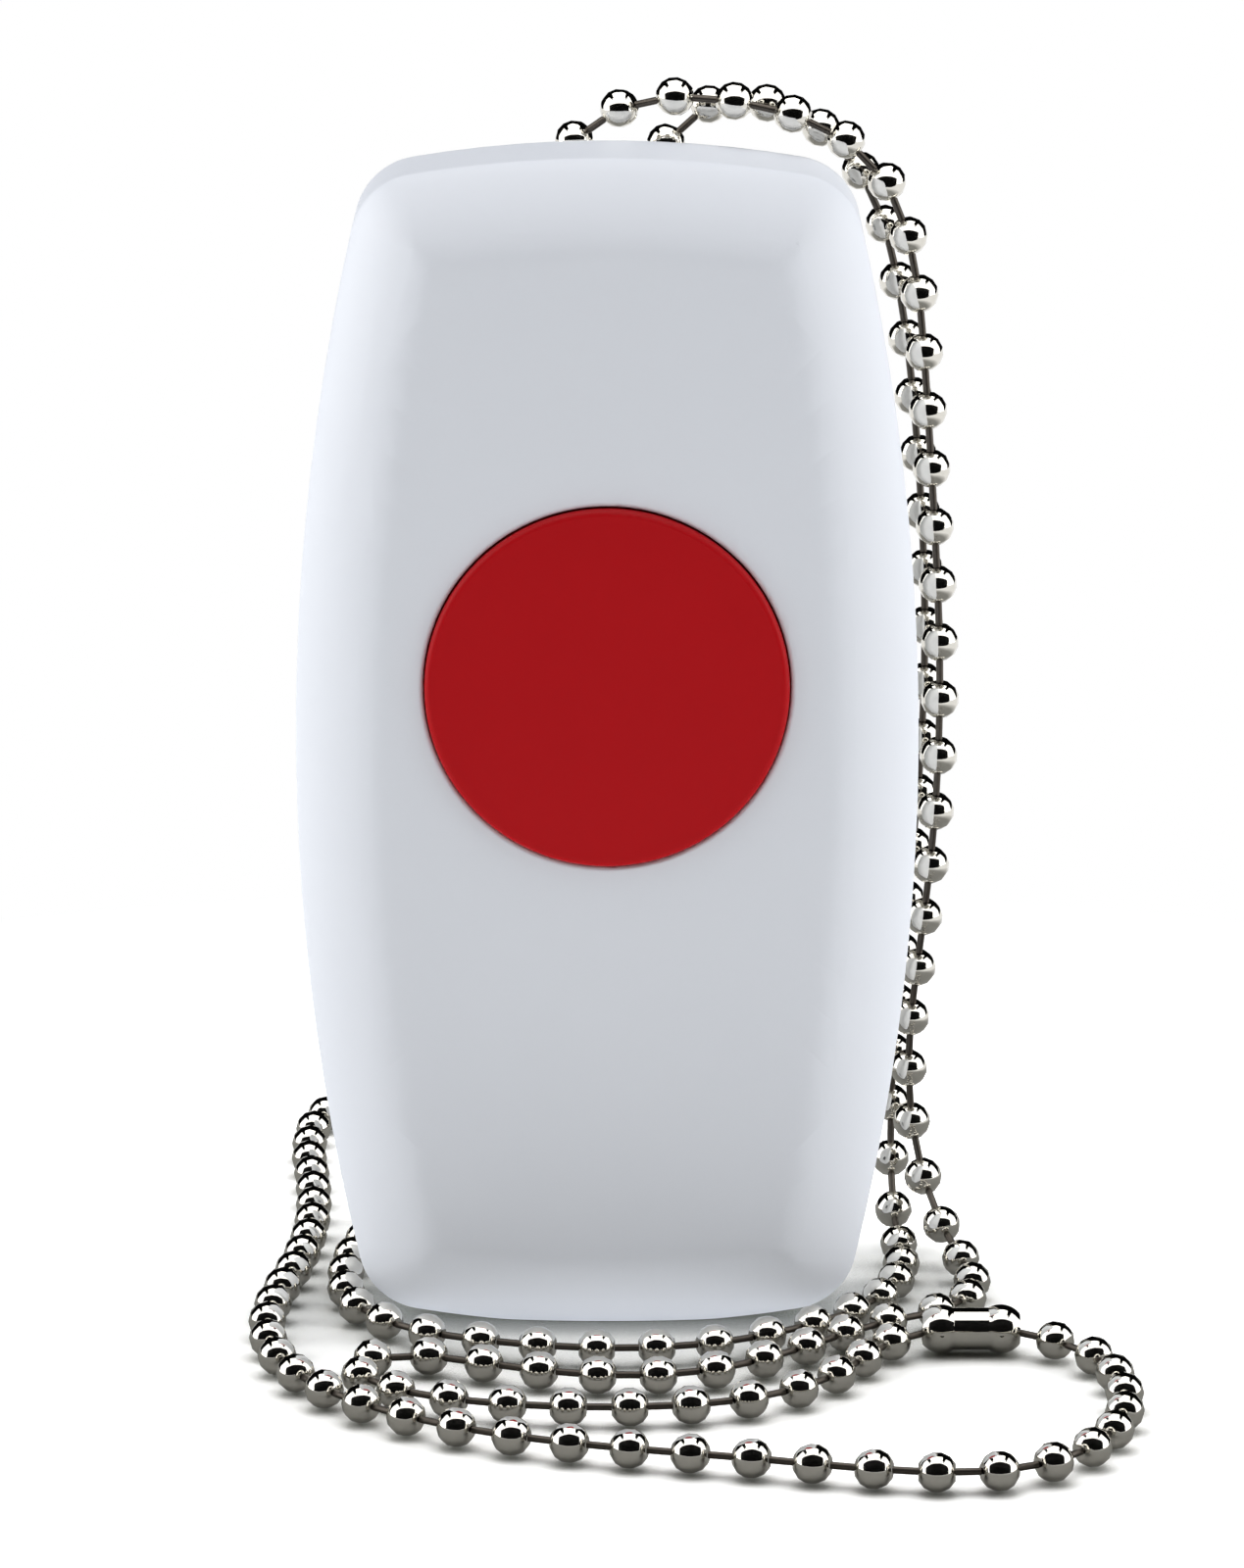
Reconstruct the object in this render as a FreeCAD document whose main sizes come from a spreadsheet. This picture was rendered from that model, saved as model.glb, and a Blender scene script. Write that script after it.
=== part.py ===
"""Wireless panic button on a ball-chain neck cord.

X runs to the right as one looks at the button, +Y runs back through the housing and +Z is up. The origin is
on the floor, under the middle of the housing. All sizes are millimetres.
"""

import FreeCAD, Part
import math
import os
import re
import Sketcher

os.makedirs("parts", exist_ok=True)

V = FreeCAD.Vector
doc = FreeCAD.newDocument("PanicButton")

# Driving sizes. A depth is measured from the housing's middle plane towards the front, and a back towards the
# rear. A drop is measured down from the housing's top, and a side or end gap in from its side or end.

SIZES = {
    # housing
    "body_width": 38.1,
    "body_height": 72.8,
    "front_depth": 6.3,
    "housing_back": 6.8,
    "parting_back": 3.2,
    "side_radius": 144,
    "end_radius": 72,
    "corner_radius": 4.3,
    "foot_cut": 0.34,
    "front_round": 3.8,
    "back_round": 2,
    "cover_wall": 1.6,
    "lip_gap": 0.15,
    "lip_wall": 0.9,
    "lip_rise": 1.2,
    "gasket_width": 0.6,
    "gasket_thickness": 0.5,
    # push button
    "button_height": 41,
    "button_side_gap": 8.1,
    "button_gap": 0.2,
    "button_proud": 0.5,
    "button_skin": 1.5,
    "button_round": 0.4,
    "rim_round": 0.3,
    "flange_lap": 1,
    "flange_thickness": 0.8,
    "seal_thickness": 0.15,
    "seal_width": 0.75,
    "seat_gap": 0.05,
    "button_travel": 0.6,
    "stem_radius": 2.6,
    "rib_width": 0.9,
    # pillars, posts and screws
    "screw_side_gap": 7.55,
    "screw_end_gap": 7.1,
    "pillar_radius": 2.3,
    "pillar_joint_back": 1.6,
    "screw_radius": 0.8,
    "screw_length": 7.2,
    "screw_head_radius": 1.75,
    "screw_head_height": 1.2,
    "screw_sink": 0.5,
    "screw_gap": 0.2,
    "thread_gap": 0.02,
    "drive_width": 0.4,
    "post_side_gap": 4.15,
    "post_radius": 1.7,
    "board_screw_radius": 0.5,
    "board_screw_length": 4,
    "board_screw_head_radius": 1.1,
    "board_screw_head_height": 0.8,
    # circuit board and what it carries
    "board_depth": 0.2,
    "board_thickness": 1,
    "board_edge_gap": 0.4,
    "switch_side": 6.2,
    "switch_height": 2,
    "switch_floor": 0.4,
    "switch_frame_thickness": 0.25,
    "plunger_radius": 1.7,
    "plunger_gap": 0.2,
    "leg_width": 0.7,
    "leg_thickness": 0.2,
    "leg_reach": 1.1,
    "leg_across": 2.25,
    "cell_height": 20,
    "cell_radius": 10,
    "cell_thickness": 3.2,
    "cell_rim": 1.1,
    "cell_step": 0.6,
    "cradle_wall": 1.1,
    "cradle_gap": 0.15,
    "cradle_thickness": 2.6,
    "cradle_notch": 1.8,
    "contact_thickness": 0.15,
    "contact_radius": 5.5,
    "strap_thickness": 0.3,
    "strap_width": 5,
    "strap_foot": 1.2,
    "chip_drop": 5.5,
    "chip_across": 5.5,
    "chip_side": 5,
    "chip_thickness": 1.1,
    "chip_dimple": 0.4,
    "chip_dimple_depth": 0.15,
    "can_length": 5,
    "can_width": 3.6,
    "can_thickness": 1.3,
    "can_round": 0.5,
    "row_gap": 1.8,
    "row_pitch": 2.6,
    "capacitor_length": 1.6,
    "capacitor_thickness": 0.8,
    "resistor_length": 2,
    "resistor_thickness": 0.5,
    "antenna_drop": 11.3,
    "antenna_side_gap": 10.35,
    "antenna_tall": 9,
    "antenna_track": 0.8,
    "antenna_thickness": 0.3,
    # recess with the bar that carries the chain
    "bail_width": 13.8,
    "bail_tall": 12.4,
    "bail_drop": 4.9,
    "bail_sink": 3.95,
    "bail_wall": 1.1,
    "bail_round": 1.2,
    "bar_width": 2.6,
    "bar_thickness": 1,
    # shallow recess for a clip or an adhesive pad
    "pad_width": 22,
    "pad_tall": 26,
    "pad_height": 28,
    "pad_sink": 0.3,
    "pad_corner": 2,
    # ball chain
    "bead_radius": 1.2,
    "bead_pitch": 3.65,
    "link_radius": 0.28,
    "sleeve_radius": 1.5,
    "sleeve_wall": 0.2,
    "sleeve_slot": 0.9,
    "sleeve_mouth": 0.95,
    "floor_gap": 0.02,
}

# The chain's route from one end of its connector, through the bar on the back, to the connector's other end.
# The points were chosen by hand along the strands that the photograph shows.

CHAIN_ROUTE = [
    # from the connector to the left in the third row from the body, and round a bend in the left heap
    V(20.47, -9.6, 1.52), V(17.1, -10.9, 1.25), V(15.2, -15.6, 1.22), V(12.4, -20.2, 1.22),
    V(7.6, -23.4, 1.22), V(1.6, -24.4, 1.22), V(-4.6, -24.1, 1.22), V(-10.0, -22.6, 1.22),
    V(-13.9, -20.2, 1.22), V(-15.5, -16.6, 1.22), V(-13.6, -13.6, 1.22), V(-10.2, -14.2, 1.22),
    # to the right in the second row and back along the body's right side
    V(-5.2, -16.8, 1.22), V(0.6, -18.4, 1.22), V(6.6, -17.4, 1.22), V(12.0, -12.6, 1.22),
    V(16.4, -7.4, 1.22), V(20.8, -5.2, 1.22), V(23.0, -1.4, 1.22), V(22.8, 3.8, 1.22),
    V(21.2, 8.6, 2.6),
    # up the right side and over the top corner to the recess in the back
    V(19.5, 12.0, 7.0), V(19.0, 11.0, 14.0), V(19.8, 8.8, 21.6), V(20.6, 7.0, 30.0),
    V(20.8, 6.5, 39.4), V(20.3, 6.6, 48.8), V(19.7, 6.5, 57.4), V(19.1, 6.7, 65.0),
    V(17.2, 6.4, 70.7), V(13.0, 6.2, 73.9), V(7.6, 6.1, 75.2), V(2.4, 6.6, 75.4),
    V(-2.2, 8.8, 72.8), V(-4.8, 8.0, 67.4), V(-5.0, 4.9, 62.4),
    # behind the bar and up again beside itself
    V(-3.4, 4.33, 58.8), V(0.6, 4.33, 57.8), V(4.3, 4.35, 59.9), V(5.2, 5.6, 64.2),
    V(4.2, 8.6, 68.2), V(3.0, 10.0, 71.4), V(5.4, 10.2, 74.4), V(9.8, 9.7, 74.8),
    V(14.4, 9.5, 72.4), V(17.2, 9.6, 67.6), V(18.6, 9.6, 60.4), V(19.5, 9.7, 51.4),
    V(20.0, 9.8, 41.4), V(19.7, 10.5, 31.2), V(18.8, 12.0, 21.8), V(18.3, 14.0, 13.6),
    V(18.2, 15.4, 7.2), V(18.2, 13.6, 3.3), V(18.6, 9.4, 1.22), V(18.6, 3.0, 1.22),
    # to the left in the row against the body, and back past its left side
    V(16.7, -3.3, 1.22), V(12.3, -8.3, 1.22), V(6.6, -12.0, 1.22), V(-0.4, -12.9, 1.22),
    V(-7.0, -11.4, 1.22), V(-12.6, -8.8, 1.22), V(-16.1, -3.6, 1.22), V(-16.7, 3.6, 1.22),
    V(-15.7, 11.4, 1.22), V(-13.0, 19.0, 1.22), V(-9.4, 26.2, 1.22), V(-6.4, 33.6, 1.22),
    V(-5.6, 41.2, 1.22), V(-9.6, 46.8, 1.22), V(-15.8, 46.6, 1.22),
    # forward again outside itself
    V(-19.7, 40.8, 1.22), V(-20.2, 32.2, 1.22), V(-19.3, 22.9, 1.22), V(-19.0, 13.7, 1.22),
    V(-19.6, 5.1, 1.22), V(-20.8, -2.3, 1.22), V(-21.1, -9.4, 1.22), V(-19.6, -16.4, 1.22),
    V(-16.0, -22.4, 1.22),
    # the front row and the wide loop on the right, which ends in the connector
    V(-10.6, -27.2, 1.22), V(-4.8, -30.2, 1.22), V(1.4, -32.2, 1.22), V(8.4, -33.8, 1.22),
    V(15.4, -36.0, 1.22), V(22.4, -36.9, 1.22), V(27.8, -33.4, 1.22), V(30.6, -27.0, 1.22),
    V(31.1, -20.2, 1.22), V(30.0, -14.6, 1.22), V(27.6, -10.9, 1.25), V(24.13, -9.6, 1.52),
]


def bound(text):
    """Names the sheet before each of its aliases, as an expression outside the sheet needs."""
    return re.sub("[a-z_]+", lambda word: "Sizes." + word[0] if word[0] in SIZES else word[0], text)


def size(text):
    """The value of an expression in the sheet's aliases."""
    return float(sheet.evalExpression(bound(text)))


def tie(thing, field, text):
    thing.setExpression(field, bound(text))


sheet = doc.addObject("Spreadsheet::Sheet", "Sizes")
for row, (alias, value) in enumerate(SIZES.items(), start=1):
    sheet.set(f"A{row}", alias)
    sheet.set(f"B{row}", str(value))
    sheet.setAlias(f"B{row}", alias)
doc.recompute()

BODY_MIDDLE = "(body_height - foot_cut) / 2"
BUTTON_RADIUS = "(body_width / 2 - button_side_gap)"
SCREW_ACROSS = "(body_width / 2 - screw_side_gap)"
SCREW_ALONG = "(body_height / 2 - screw_end_gap)"
POST_ACROSS = "(body_width / 2 - post_side_gap)"
BAIL_TOP = "(body_height - bail_drop)"
CHIP_HEIGHT = f"({BAIL_TOP} - bail_tall - bail_wall - chip_drop)"
ANTENNA_WIDTH = "(body_width - 2 * antenna_side_gap)"
BOARD_BACK = "(board_thickness - board_depth)"
REAR_FLOOR = "(housing_back - cover_wall)"


def new_body(label):
    body = doc.addObject("PartDesign::Body", label)
    body.Label = label
    return body


def sketch_at(body, name, depth, height, across="0"):
    """A sketch parallel to the front face, with its origin at the given depth and height."""
    drawing = body.newObject("Sketcher::SketchObject", name)
    plane = next(f for f in body.Origin.OriginFeatures if f.Role == "XZ_Plane")
    drawing.AttachmentSupport = [(plane, "")]
    drawing.MapMode = "FlatFace"
    tie(drawing, "AttachmentOffset.Base.x", across)
    tie(drawing, "AttachmentOffset.Base.y", height)
    tie(drawing, "AttachmentOffset.Base.z", depth)
    return drawing


def measure(drawing, kind, *where, text):
    """A dimension in a sketch, bound to an expression."""
    index = drawing.addConstraint(Sketcher.Constraint(kind, *where, size(text)))
    tie(drawing, f"Constraints[{index}]", text)


def draw_circle(drawing, radius, across="0", along="0"):
    """A circle at a distance from the sketch's origin; a leading minus puts it to the left or below."""
    place = V(size(across), size(along), 0)
    circle = drawing.addGeometry(Part.Circle(place, V(0, 0, 1), size(radius)))
    measure(drawing, "Radius", circle, text=radius)
    for kind, text, offset in (("DistanceX", across, place.x), ("DistanceY", along, place.y)):
        if text == "0":
            axis = -2 if kind == "DistanceX" else -1
            drawing.addConstraint(Sketcher.Constraint("PointOnObject", circle, 3, axis))
        elif offset > 0:
            measure(drawing, kind, -1, 1, circle, 3, text=text)
        else:
            measure(drawing, kind, circle, 3, -1, 1, text=text.lstrip("-"))


def draw_box(drawing, width, tall):
    """A rectangle centred on the sketch's origin."""
    half_x, half_y = size(width) / 2, size(tall) / 2
    corners = [V(-half_x, -half_y), V(half_x, -half_y), V(half_x, half_y), V(-half_x, half_y)]
    first = drawing.GeometryCount
    for here, there in zip(corners, corners[1:] + corners[:1]):
        drawing.addGeometry(Part.LineSegment(here, there))
    for step in range(4):
        drawing.addConstraint(Sketcher.Constraint("Coincident", first + step, 2, first + (step + 1) % 4, 1))
        drawing.addConstraint(Sketcher.Constraint("Vertical" if step % 2 else "Horizontal", first + step))
    drawing.addConstraint(Sketcher.Constraint("Symmetric", first, 1, first + 2, 1, -1, 1))
    measure(drawing, "DistanceX", first, 1, first, 2, text=width)
    measure(drawing, "DistanceY", first + 1, 1, first + 1, 2, text=tall)


def draw_barrel(drawing, inset="0"):
    """The housing's barrel outline, or a parallel one inside it: two sides, two ends and four corner arcs."""
    side = size(f"side_radius - ({inset})")
    end = size(f"end_radius - ({inset})")
    corner = size(f"corner_radius - ({inset})")
    side_shift = size("side_radius - body_width / 2")
    end_shift = size("end_radius - (body_height + foot_cut) / 2")
    # A corner's centre is where circles about the centres of the side and the end arc cross.
    near, far, apart = side - corner, end - corner, math.hypot(side_shift, end_shift)
    along = (near**2 - far**2 + apart**2) / (2 * apart)
    aside = math.sqrt(near**2 - along**2)
    ux, uy = side_shift / apart, -end_shift / apart
    centre_x = -side_shift + along * ux - aside * uy
    centre_y = along * uy + aside * ux
    low = math.atan2(centre_y, centre_x + side_shift)
    high = math.atan2(centre_y + end_shift, centre_x)
    half, full = math.pi, 2 * math.pi
    arcs = [
        (-side_shift, 0, side, -low, low),
        (centre_x, centre_y, corner, low, high),
        (0, -end_shift, end, high, half - high),
        (-centre_x, centre_y, corner, half - high, half - low),
        (side_shift, 0, side, half - low, half + low),
        (-centre_x, -centre_y, corner, half + low, half + high),
        (0, end_shift, end, half + high, full - high),
        (centre_x, -centre_y, corner, full - high, full - low),
    ]
    first = drawing.GeometryCount
    for x, y, radius, start, stop in arcs:
        drawing.addGeometry(Part.ArcOfCircle(Part.Circle(V(x, y, 0), V(0, 0, 1), radius), start, stop))
    for step in range(8):
        drawing.addConstraint(Sketcher.Constraint("Tangent", first + step, 2, first + (step + 1) % 8, 1))
    for step, name in ((0, "side"), (2, "end"), (4, "side"), (6, "end")):
        measure(drawing, "Radius", first + step, text=f"{name}_radius - ({inset})")
    for step in (1, 3, 5, 7):
        measure(drawing, "Radius", first + step, text=f"corner_radius - ({inset})")
    for step in (0, 4):
        drawing.addConstraint(Sketcher.Constraint("PointOnObject", first + step, 3, -1))
    for step in (2, 6):
        drawing.addConstraint(Sketcher.Constraint("PointOnObject", first + step, 3, -2))
    side_text, end_text = "side_radius - body_width / 2", "end_radius - (body_height + foot_cut) / 2"
    measure(drawing, "DistanceX", first, 3, -1, 1, text=side_text)
    measure(drawing, "DistanceX", -1, 1, first + 4, 3, text=side_text)
    measure(drawing, "DistanceY", first + 2, 3, -1, 1, text=end_text)
    measure(drawing, "DistanceY", -1, 1, first + 6, 3, text=end_text)


def settle(body, feature, grows):
    """Recomputes, and stops if the feature failed or did not change the body as it should."""
    before = getattr(settle, "volumes", {}).get(body.Name, 0)
    doc.recompute()
    if {"Invalid", "Error"} & set(feature.State) or not feature.Shape.isValid():
        raise RuntimeError(f"{body.Label}: {feature.Label} failed")
    after = feature.Shape.Volume
    if grows and after <= before + 1e-6 or grows is False and after >= before - 1e-6:
        raise RuntimeError(f"{body.Label}: {feature.Label} changed {before:.3f} to {after:.3f}")
    settle.volumes = {**getattr(settle, "volumes", {}), body.Name: after}
    return feature


def pad(body, drawing, length):
    """Adds material from the sketch towards the front."""
    feature = body.newObject("PartDesign::Pad", drawing.Name + "Pad")
    feature.Profile = drawing
    tie(feature, "Length", length)
    return settle(body, feature, True)


def pocket(body, drawing, length, forward=False):
    """Cuts from the sketch towards the rear, or forward; with no length it cuts through all, both ways."""
    feature = body.newObject("PartDesign::Pocket", drawing.Name + "Cut")
    feature.Profile = drawing
    feature.Reversed = forward
    if length is None:
        feature.Type = "ThroughAll"
        feature.Midplane = True
    else:
        tie(feature, "Length", length)
    return settle(body, feature, False)


def edges_of(feature, test):
    return [f"Edge{index}" for index, edge in enumerate(feature.Shape.Edges, start=1) if test(edge)]


def in_plane(edge, y):
    box = edge.BoundBox
    return abs(box.YMin - y) < 1e-4 and abs(box.YMax - y) < 1e-4


def round_edges(body, feature, name, radius, test):
    fillet = body.newObject("PartDesign::Fillet", name)
    fillet.Base = (feature, edges_of(feature, test))
    tie(fillet, "Radius", radius)
    return settle(body, fillet, None)


def cut_foot(body):
    """Takes the bottom end arc off flat at floor level, so that the housing stands."""
    drawing = sketch_at(body, body.Label + "_foot", "0", "-body_height / 2")
    draw_box(drawing, "2 * body_width", "body_height")
    return pocket(body, drawing, None)


def screw_circles(drawing, radius):
    for across in (SCREW_ACROSS, "-" + SCREW_ACROSS):
        for along in (SCREW_ALONG, "-" + SCREW_ALONG):
            draw_circle(drawing, radius, across, along)


def make_front_cover():
    """Moulded front shell: soft shoulder, the button's round opening, four pillars and two board posts."""
    body = new_body("front_cover")
    outline = sketch_at(body, "front_outline", "-parting_back", BODY_MIDDLE)
    draw_barrel(outline)
    shell = pad(body, outline, "front_depth + parting_back")
    front = -size("front_depth")
    shell = round_edges(body, shell, "front_shoulder", "front_round", lambda edge: in_plane(edge, front))
    cavity = sketch_at(body, "front_cavity", "-parting_back", BODY_MIDDLE)
    draw_barrel(cavity, "cover_wall")
    shell = pocket(body, cavity, "front_depth + parting_back - cover_wall", forward=True)
    floor = -size("front_depth - cover_wall")
    shell = round_edges(
        body, shell, "inner_shoulder", "front_round - cover_wall", lambda edge: in_plane(edge, floor)
    )
    pillars = sketch_at(body, "front_pillars", "-pillar_joint_back", BODY_MIDDLE)
    screw_circles(pillars, "pillar_radius")
    pad(body, pillars, "front_depth - cover_wall + pillar_joint_back")
    posts = sketch_at(body, "board_posts", "board_depth", "button_height")
    for across in (POST_ACROSS, "-" + POST_ACROSS):
        draw_circle(posts, "post_radius", across)
    pad(body, posts, "front_depth - cover_wall - board_depth")
    pilots = sketch_at(body, "pillar_pilots", "-pillar_joint_back", BODY_MIDDLE)
    screw_circles(pilots, "screw_radius + thread_gap")
    depth = "screw_length + screw_head_height + screw_sink - housing_back + pillar_joint_back + screw_gap"
    pocket(body, pilots, depth, True)
    drills = sketch_at(body, "post_pilots", "board_depth", "button_height")
    for across in (POST_ACROSS, "-" + POST_ACROSS):
        draw_circle(drills, "board_screw_radius + thread_gap", across)
    pocket(body, drills, "board_screw_length - board_thickness + screw_gap", True)
    opening = sketch_at(body, "button_opening", "front_depth", "button_height")
    draw_circle(opening, BUTTON_RADIUS + " + button_gap")
    shell = pocket(body, opening, "2 * cover_wall")
    rim = size(BUTTON_RADIUS + " + button_gap")

    def on_rim(edge):
        return in_plane(edge, front) and abs(getattr(edge.Curve, "Radius", 0) - rim) < 1e-4

    round_edges(body, shell, "opening_rim", "rim_round", on_rim)
    cut_foot(body)
    return body


def make_rear_cover():
    """Moulded rear tray: locating lip, gasket groove, sunk screw holes, pad seat and recessed chain bar."""
    body = new_body("rear_cover")
    outline = sketch_at(body, "rear_outline", "-housing_back", BODY_MIDDLE)
    draw_barrel(outline)
    tray = pad(body, outline, "housing_back - parting_back")
    back = size("housing_back")
    tray = round_edges(body, tray, "back_edge", "back_round", lambda edge: in_plane(edge, back))
    cavity = sketch_at(body, "rear_cavity", "-parting_back", BODY_MIDDLE)
    draw_barrel(cavity, "cover_wall + lip_gap + lip_wall")
    pocket(body, cavity, "housing_back - parting_back - cover_wall")
    lip = sketch_at(body, "locating_lip", "-parting_back", BODY_MIDDLE)
    draw_barrel(lip, "cover_wall + lip_gap")
    draw_barrel(lip, "cover_wall + lip_gap + lip_wall")
    pad(body, lip, "lip_rise")
    groove = sketch_at(body, "gasket_groove", "-parting_back", BODY_MIDDLE)
    draw_barrel(groove, "(cover_wall - gasket_width) / 2")
    draw_barrel(groove, "(cover_wall + gasket_width) / 2")
    pocket(body, groove, "gasket_thickness")
    box = sketch_at(body, "bail_box", "-" + REAR_FLOOR, BAIL_TOP + " - bail_tall / 2")
    draw_box(box, "bail_width + 2 * bail_wall", "bail_tall + 2 * bail_wall")
    pad(body, box, f"{REAR_FLOOR} - (housing_back - bail_sink - bail_wall)")
    recess = sketch_at(body, "bail_recess", "-housing_back", BAIL_TOP + " - bail_tall / 2")
    draw_box(recess, "bail_width", "bail_tall")
    tray = pocket(body, recess, "bail_sink", forward=True)
    half_wide, low, high = size("bail_width / 2"), size(BAIL_TOP + " - bail_tall"), size(BAIL_TOP)

    def on_mouth(edge):
        box = edge.BoundBox
        inside = abs(box.XMin) < half_wide + 1e-3 and abs(box.XMax) < half_wide + 1e-3
        return in_plane(edge, back) and inside and box.ZMin > low - 1e-3 and box.ZMax < high + 1e-3

    round_edges(body, tray, "bail_mouth", "bail_round", on_mouth)
    bar = sketch_at(body, "chain_bar", "-housing_back", BAIL_TOP + " - bail_tall / 2")
    draw_box(bar, "bar_width", "bail_tall + bail_wall")
    pad(body, bar, "bar_thickness")
    pillars = sketch_at(body, "rear_pillars", "-" + REAR_FLOOR, BODY_MIDDLE)
    screw_circles(pillars, "pillar_radius")
    pad(body, pillars, f"{REAR_FLOOR} - pillar_joint_back")
    heads = sketch_at(body, "screw_heads", "-housing_back", BODY_MIDDLE)
    screw_circles(heads, "screw_head_radius + screw_gap")
    pocket(body, heads, "screw_head_height + screw_sink", True)
    holes = sketch_at(body, "screw_holes", "-housing_back", BODY_MIDDLE)
    screw_circles(holes, "screw_radius + screw_gap")
    pocket(body, holes, "housing_back", True)
    seat = sketch_at(body, "pad_seat", "-housing_back", "pad_height")
    draw_box(seat, "pad_width", "pad_tall")
    tray = pocket(body, seat, "pad_sink", True)
    sink, pad_half = size("pad_sink"), size("pad_width / 2")

    def on_pad_corner(edge):
        box = edge.BoundBox
        return abs(box.YLength - sink) < 1e-4 and abs(abs(box.XMin) - pad_half) < 1e-4 and box.XLength < 1e-4

    round_edges(body, tray, "pad_corners", "pad_corner", on_pad_corner)
    cut_foot(body)
    return body


def make_gasket():
    """Silicone ring in the rear cover's groove, closed by the front cover's rim."""
    body = new_body("housing_gasket")
    ring = sketch_at(body, "gasket_ring", "-parting_back - gasket_thickness", BODY_MIDDLE)
    draw_barrel(ring, "(cover_wall - gasket_width) / 2")
    draw_barrel(ring, "(cover_wall + gasket_width) / 2")
    pad(body, ring, "gasket_thickness")
    return body


FLANGE_FRONT = "(front_depth - cover_wall - seal_thickness - seat_gap)"
FLANGE_BACK = "(front_depth - cover_wall - seal_thickness - seat_gap - flange_thickness)"
SWITCH_TOP = "(board_depth + switch_height + switch_frame_thickness)"
PLUNGER_TIP = "(board_depth + switch_height + switch_frame_thickness + button_travel + plunger_gap)"


def make_button():
    """Red push button: a flat cap, hollow behind, with a retaining flange, a stem and a cross of ribs."""
    body = new_body("panic_button")
    flange = sketch_at(body, "button_flange", FLANGE_BACK, "button_height")
    draw_circle(flange, BUTTON_RADIUS + " + flange_lap")
    pad(body, flange, "flange_thickness")
    cap = sketch_at(body, "button_cap", FLANGE_BACK, "button_height")
    draw_circle(cap, BUTTON_RADIUS)
    cap_pad = pad(body, cap, f"front_depth + button_proud - {FLANGE_BACK}")
    face = -size("front_depth + button_proud")
    round_edges(body, cap_pad, "cap_edge", "button_round", lambda edge: in_plane(edge, face))
    hollow = sketch_at(body, "button_hollow", FLANGE_BACK, "button_height")
    draw_circle(hollow, BUTTON_RADIUS + " - button_skin")
    pocket(body, hollow, f"front_depth + button_proud - {FLANGE_BACK} - button_skin", True)
    stem = sketch_at(body, "button_stem", PLUNGER_TIP + " + seat_gap", "button_height")
    draw_circle(stem, "stem_radius")
    pad(body, stem, f"front_depth + button_proud - button_skin - {PLUNGER_TIP} - seat_gap")
    rib_length = f"2 * {BUTTON_RADIUS} - button_skin"
    for name, wide, tall in (("rib_across", rib_length, "rib_width"), ("rib_along", "rib_width", rib_length)):
        rib = sketch_at(body, name, FLANGE_BACK, "button_height")
        draw_box(rib, wide, tall)
        pad(body, rib, f"front_depth + button_proud - button_skin - {FLANGE_BACK}")
    return body


def make_button_seal():
    """Thin silicone ring behind the opening's edge, which the flange rests on."""
    body = new_body("button_seal")
    ring = sketch_at(body, "seal_ring", "front_depth - cover_wall - seal_thickness", "button_height")
    draw_circle(ring, BUTTON_RADIUS + " + flange_lap")
    draw_circle(ring, BUTTON_RADIUS + " + flange_lap - seal_width")
    pad(body, ring, "seal_thickness")
    return body


def make_board():
    """Circuit board with the housing's outline, notched for the pillars and drilled for its two screws."""
    body = new_body("circuit_board")
    outline = sketch_at(body, "board_outline", "-" + BOARD_BACK, BODY_MIDDLE)
    draw_barrel(outline, "cover_wall + board_edge_gap")
    pad(body, outline, "board_thickness")
    notches = sketch_at(body, "board_notches", "-" + BOARD_BACK, BODY_MIDDLE)
    screw_circles(notches, "pillar_radius + board_edge_gap")
    pocket(body, notches, "board_thickness", True)
    holes = sketch_at(body, "board_holes", "-" + BOARD_BACK, "button_height")
    for across in (POST_ACROSS, "-" + POST_ACROSS):
        draw_circle(holes, "board_screw_radius + thread_gap", across)
    pocket(body, holes, "board_thickness", True)
    return body


def make_switch_base():
    """Tactile switch housing, square, bored for its plunger."""
    body = new_body("switch_base")
    block = sketch_at(body, "switch_block", "board_depth", "button_height")
    draw_box(block, "switch_side", "switch_side")
    pad(body, block, "switch_height")
    bore = sketch_at(body, "switch_bore", "board_depth + switch_height", "button_height")
    draw_circle(bore, "plunger_radius + plunger_gap")
    pocket(body, bore, "switch_height - switch_floor")
    return body


def make_switch_frame():
    """Pressed steel cover over the switch, with the plunger's hole."""
    body = new_body("switch_frame")
    plate = sketch_at(body, "frame_plate", "board_depth + switch_height", "button_height")
    draw_box(plate, "switch_side", "switch_side")
    draw_circle(plate, "plunger_radius + plunger_gap")
    pad(body, plate, "switch_frame_thickness")
    return body


def make_switch_plunger():
    """Switch plunger, which the button's stem pushes into the switch."""
    body = new_body("switch_plunger")
    pin = sketch_at(body, "plunger_pin", "board_depth + switch_height - button_travel", "button_height")
    draw_circle(pin, "plunger_radius")
    stem = pad(body, pin, f"{PLUNGER_TIP} - (board_depth + switch_height - button_travel)")
    tip = -size(PLUNGER_TIP)
    round_edges(body, stem, "plunger_edge", "plunger_gap", lambda edge: in_plane(edge, tip))
    return body


def group(label, members):
    """Like pieces that share one node, each still a solid of its own."""
    together = doc.addObject("Part::Compound", label)
    together.Label = label
    together.Links = members
    doc.recompute()
    return together


def block(name, width, thickness, tall, depth, height, across="0"):
    """A box that stands forward from the given depth, centred on the given height and place across."""
    box = doc.addObject("Part::Box", name)
    tie(box, "Length", width)
    tie(box, "Width", thickness)
    tie(box, "Height", tall)
    tie(box, "Placement.Base.x", f"{across} - ({width}) / 2")
    tie(box, "Placement.Base.y", f"-({depth}) - ({thickness})")
    tie(box, "Placement.Base.z", f"{height} - ({tall}) / 2")
    return box


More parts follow.
